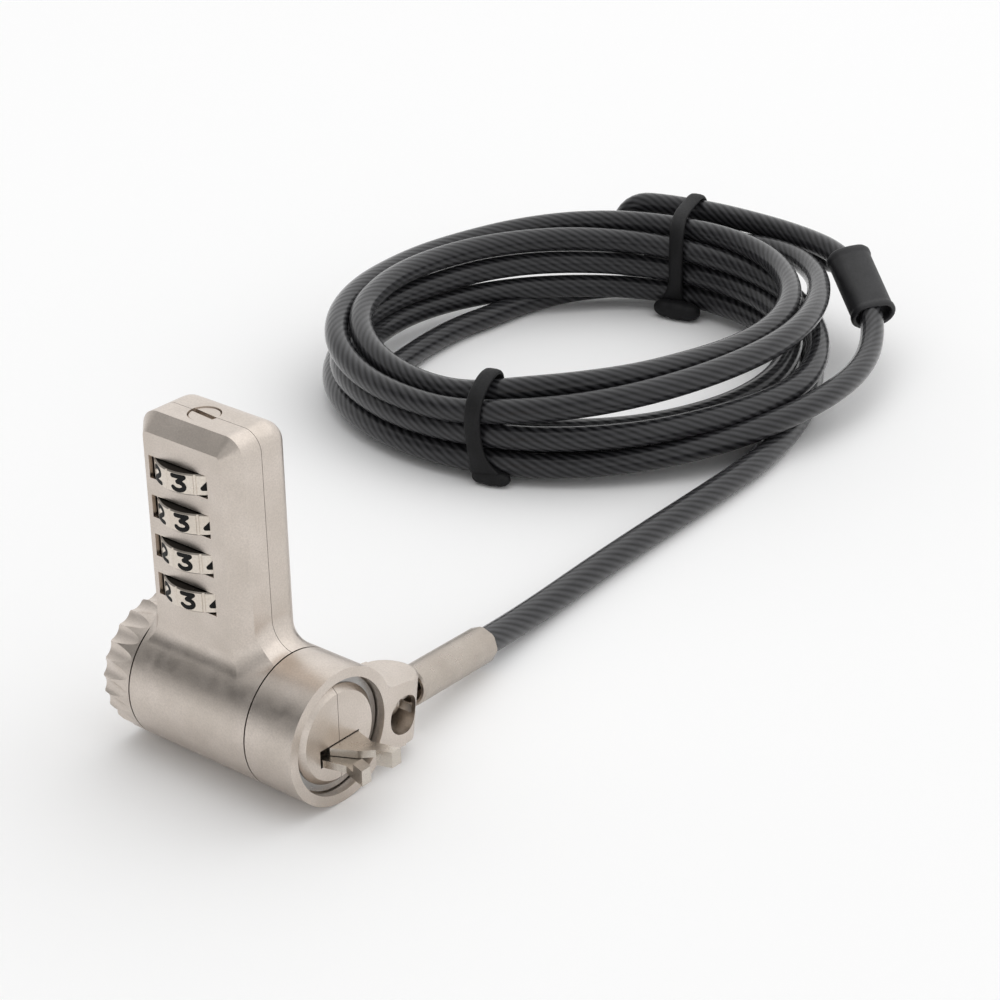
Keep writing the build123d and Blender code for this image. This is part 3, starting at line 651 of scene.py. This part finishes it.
def satin_metal(name, colour, dark, roughness, grain=0.5, painted_end_shade=None):
    """Bead-blasted plated metal: fine grain, soft blotches and slightly uneven gloss.

    The flat top and bottom faces take another colour if one is given, a painted shade for faces that lie
    in shadow.
    """
    blotch_scale, grain_scale, gloss_scale = 160, 3600, 420
    grain_height = 0.00004
    made, tree, shader = material(name)
    blotch = noise(tree, blotch_scale, 4)
    fine = noise(tree, grain_scale, 4, roughness=0.65)
    tone = mix_colour(tree, remap(tree, blotch, 0.35, 0.65, 0, 1), dark, colour)
    specks_and_end_shade = mix_colour(tree, remap(tree, fine, 0.35, 0.65, 0, 0.4), tone, scaled(colour, 0.62))
    # Painted shade: faces that point up or down are mixed toward the given dark colour.
    if painted_end_shade is not None:
        split = tree.nodes.new("ShaderNodeSeparateXYZ")
        tree.links.new(tree.nodes.new("ShaderNodeTexCoord").outputs["Normal"], split.inputs[0])
        flat = remap(tree, calculate(tree, "ABSOLUTE", split.outputs["Z"]), 0.6, 0.8, 0, 1)
        specks_and_end_shade = mix_colour(tree, flat, specks_and_end_shade, painted_end_shade)
    tree.links.new(specks_and_end_shade, shader.inputs["Base Color"])
    shader.inputs["Metallic"].default_value = 1.0
    gloss = noise(tree, gloss_scale)
    uneven = remap(tree, gloss, 0.3, 0.7, roughness - 0.05, roughness + 0.06)
    tree.links.new(uneven, shader.inputs["Roughness"])
    tree.links.new(bump(tree, fine, grain, grain_height), shader.inputs["Normal"])
    return made


def cable_vinyl():
    """Smoke-tinted glossy vinyl over twisted wire: diagonal wires under a smooth clear coat."""
    wires = 11
    lay_cm = 0.23 * wires
    wear_scale, wire_height = 600, 0.0003
    gap_black, wire_grey, worn_grey = (0.003, 0.003, 0.0035), (0.045, 0.045, 0.049), (0.012, 0.012, 0.0135)
    made, tree, shader = material("cable_vinyl")
    uv = tree.nodes.new("ShaderNodeTexCoord").outputs["UV"]
    split = tree.nodes.new("ShaderNodeSeparateXYZ")
    tree.links.new(uv, split.inputs[0])
    along = calculate(tree, "MULTIPLY", split.outputs["X"], -wires / lay_cm)
    around = calculate(tree, "MULTIPLY", split.outputs["Y"], wires)
    phase = calculate(tree, "ADD", along, around)
    wave = calculate(tree, "SINE", calculate(tree, "MULTIPLY", phase, 2 * pi))
    ridge = remap(tree, wave, -1, 1, 0, 1)
    wear = noise(tree, wear_scale, 2)
    tone = mix_colour(tree, ridge, gap_black, wire_grey)
    worn = mix_colour(tree, remap(tree, wear, 0.35, 0.7, 0, 0.35), tone, worn_grey)
    tree.links.new(worn, shader.inputs["Base Color"])
    shader.inputs["Metallic"].default_value = 0.0
    shader.inputs["Roughness"].default_value = 0.42
    shader.inputs["Coat Weight"].default_value = 1.0
    shader.inputs["Coat Roughness"].default_value = 0.17
    shader.inputs["Coat IOR"].default_value = 1.3
    shader.inputs["Specular IOR Level"].default_value = 0.15
    tree.links.new(bump(tree, ridge, 0.35, wire_height), shader.inputs["Normal"])
    return made


def black_plastic(name, colour, roughness, specular=0.5):
    """Matte moulded plastic with a faint grain."""
    grain_scale, blotch_scale = 2600, 300
    grain_height = 0.00006
    made, tree, shader = material(name)
    grain = noise(tree, grain_scale)
    blotch = remap(tree, noise(tree, blotch_scale), 0.3, 0.7, 0, 1)
    tone = mix_colour(tree, blotch, colour, scaled(colour, 1.9))
    tree.links.new(tone, shader.inputs["Base Color"])
    uneven = remap(tree, grain, 0.3, 0.7, roughness - 0.06, roughness + 0.08)
    tree.links.new(uneven, shader.inputs["Roughness"])
    tree.links.new(bump(tree, grain, 0.25, grain_height), shader.inputs["Normal"])
    shader.inputs["Specular IOR Level"].default_value = specular
    return made


nickel = satin_metal("nickel", (0.68, 0.61, 0.55), (0.61, 0.545, 0.485), 0.33)
ferrule_nickel = satin_metal("ferrule_nickel", (0.52, 0.465, 0.41), (0.46, 0.405, 0.355), 0.3)
# The dials' flat top and bottom faces are painted near-black, a painted shade for the shadow in the
# handle's windows around each dial.
dial_metal = satin_metal("dial_nickel", (0.76, 0.69, 0.61), (0.69, 0.62, 0.54), 0.32, 0.3,
                         painted_end_shade=(0.03, 0.026, 0.022))
steel = satin_metal("steel", (0.62, 0.57, 0.51), (0.54, 0.49, 0.43), 0.28, 0.3)
spring_steel = satin_metal("spring_steel", (0.42, 0.41, 0.40), (0.34, 0.33, 0.32), 0.3, 0.2)
brass = satin_metal("brass_hub", (0.62, 0.45, 0.20), (0.52, 0.37, 0.16), 0.32, 0.2)
vinyl = cable_vinyl()
black = black_plastic("black_plastic", (0.010, 0.010, 0.011), 0.5)
strap_black = black_plastic("strap_black", (0.0035, 0.0035, 0.004), 0.62, 0.3)
ink = black_plastic("ink", (0.003, 0.003, 0.003), 0.6, 0.2)

slot_material = {"nickel": nickel, "dial_nickel": dial_metal, "steel": steel, "spring_steel": spring_steel,
                 "brass_hub": brass, "cable_vinyl": vinyl, "black_plastic": black}


def paint(piece, made):
    """Only this material on a piece."""
    piece.data.materials.clear()
    piece.data.materials.append(made)


for row in frame["record"]["subparts"]:
    paint(frame["nodes"][row["node"]], slot_material[row["material_slot"]])
paint(frame["nodes"]["cable_ferrule"], ferrule_nickel)
paint(spring, spring_steel)
paint(cable, vinyl)
paint(sleeve, black)
for piece in straps:
    paint(piece, strap_black)
for piece in digit_pieces:
    paint(piece, ink)

# ---- floor and light ------------------------------------------------------------------
# Lengths here are in metres.
FLOOR_HALF = 3.0
FLOOR_GAP = 0.00005          # under the object, so that no faces coincide
LAMP_PLACE, LAMP_TARGET = (0.0, 0.35, 1.1), (-0.03, 0.07, 0.0)
LAMP_SIDE, LAMP_POWER = 1.8, 4.0
FRONT_LEFT, FRONT_ABOVE = (-0.55, -0.68, 0.49), (0.45, -0.47, 0.76)
WORLD_STRENGTH = 1.06


def lamp(name, place, target, side, power):
    """Soft square lamp aimed at a point."""
    data = bpy.data.lights.new(name, "AREA")
    data.shape = "RECTANGLE"
    data.size, data.size_y = side, side
    data.energy = power
    light = bpy.data.objects.new(name, data)
    light.location = place
    light.rotation_euler = (Vector(place) - Vector(target)).to_track_quat("Z", "Y").to_euler()
    bpy.context.scene.collection.objects.link(light)


def floor():
    """Plain pale floor."""
    half, z = FLOOR_HALF, FLOOR * MM - FLOOR_GAP
    corners = [(-half, -half, z), (half, -half, z), (half, half, z), (-half, half, z)]
    piece = bpy.data.objects.new("floor", mesh_from("floor", corners, [(0, 1, 2, 3)]))
    bpy.context.scene.collection.objects.link(piece)
    made, tree, shader = material("floor")
    tone = mix_colour(tree, noise(tree, 3), (0.965, 0.965, 0.965), (0.985, 0.985, 0.985))
    tree.links.new(tone, shader.inputs["Base Color"])
    shader.inputs["Roughness"].default_value = 0.9
    paint(piece, made)


def facing(tree, direction):
    """Cosine between the looked-up direction and this one."""
    node = tree.nodes.new("ShaderNodeVectorMath")
    node.operation = "DOT_PRODUCT"
    tree.links.new(tree.nodes.new("ShaderNodeTexCoord").outputs["Generated"], node.inputs[0])
    node.inputs[1].default_value = Vector(direction).normalized()
    return node.outputs["Value"]


def studio_world():
    """White studio, dimmer at the front left, with a dark panel there and another above the front."""
    world = bpy.data.worlds.new("studio")
    bpy.context.scene.world = world
    world.use_nodes = True
    tree = world.node_tree
    side = facing(tree, FRONT_LEFT)
    dim = remap(tree, side, 0.25, 0.9, 1.0, 0.6)
    panel = remap(tree, side, 0.925, 0.985, 1.0, 0.15)
    above = remap(tree, facing(tree, FRONT_ABOVE), 0.9, 0.98, 1.0, 0.35)
    tone = calculate(tree, "MULTIPLY", calculate(tree, "MULTIPLY", dim, panel), above)
    background = tree.nodes["Background"]
    tree.links.new(tone, background.inputs["Color"])
    background.inputs["Strength"].default_value = WORLD_STRENGTH


floor()
studio_world()
lamp("top", LAMP_PLACE, LAMP_TARGET, LAMP_SIDE, LAMP_POWER)
bpy.context.scene.view_settings.view_transform = "Standard"
